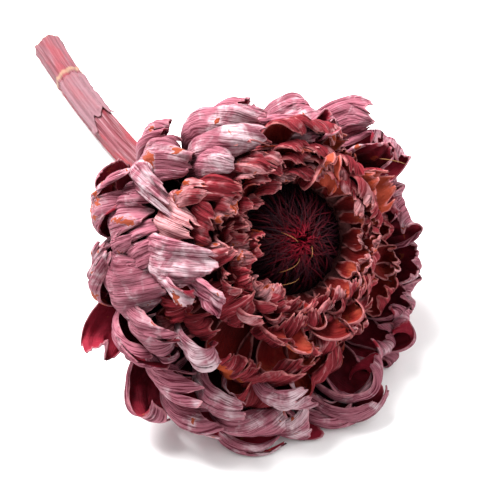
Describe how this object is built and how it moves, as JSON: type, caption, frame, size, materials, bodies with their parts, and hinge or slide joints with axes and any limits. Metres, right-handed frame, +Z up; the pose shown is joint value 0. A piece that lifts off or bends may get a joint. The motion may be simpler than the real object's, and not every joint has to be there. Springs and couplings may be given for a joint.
{
  "type": "artichoke",
  "caption": "Dried artichoke head in bloom with mauve torn bracts, russet inner bracts and a dark purple choke, on a short cut stem, lying on its side.",
  "frame": {"origin": "on the surface it lies on, under the middle of its bounding box", "axes": "+Z up from the surface, the head faces -Y and leans to +X, the stem runs back to -X and +Y"},
  "size_m": [0.1354, 0.1796, 0.087],
  "materials": {
    "stem": "dry, ribbed lengthwise, dull rose",
    "outer_bracts": "dry and leathery, finely veined, dull mauve outside and dark crimson inside",
    "inner_bracts": "thin and papery, satin russet with pale pink edges",
    "florets": "dry dark purple threads"
  },
  "bodies": {
    "root": {"stem": "stem", "outer_bracts": "outer_bracts", "inner_bracts": "inner_bracts", "florets": "florets"}
  },
  "joints": []
}
